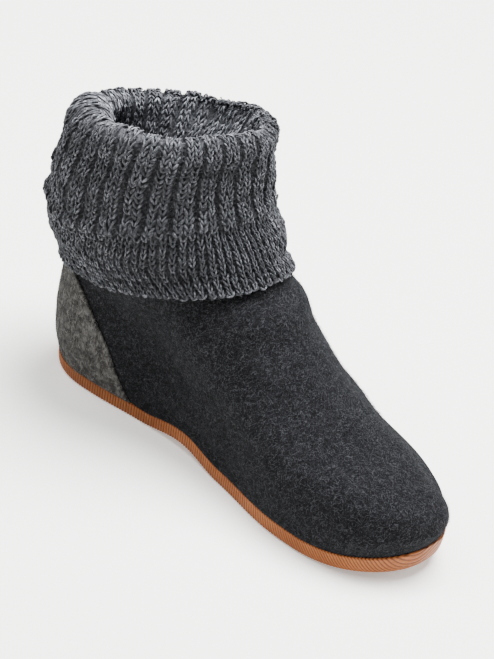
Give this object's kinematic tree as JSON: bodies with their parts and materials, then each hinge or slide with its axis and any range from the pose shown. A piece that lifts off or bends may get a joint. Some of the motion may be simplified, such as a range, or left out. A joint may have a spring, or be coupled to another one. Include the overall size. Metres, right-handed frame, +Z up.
{
  "type": "house slipper",
  "caption": "Ankle-high felt house slipper with a turned-down rib-knit cuff, a pale heel piece and a thin cross-ribbed rubber sole with a low arch and toe spring.",
  "frame": {"origin": "on the floor under the middle of the slipper's box", "axes": "+Z up; the toe points to -Y and the heel to +Y; the wearer's left is +X, so the medial side of this left shoe faces -X"},
  "size_m": [0.113, 0.285, 0.1825],
  "materials": {
    "sole_rubber": "matt caramel natural rubber",
    "dark_felt": "mottled charcoal boiled-wool felt",
    "insole_felt": "grey wool felt",
    "pale_felt": "light warm-grey wool felt",
    "rib_knit": "marled grey rib knit"
  },
  "bodies": {
    "root": {"outsole": "sole_rubber", "upper": "dark_felt", "insole": "insole_felt", "heel_piece": "pale_felt", "cuff": "rib_knit"}
  },
  "joints": []
}
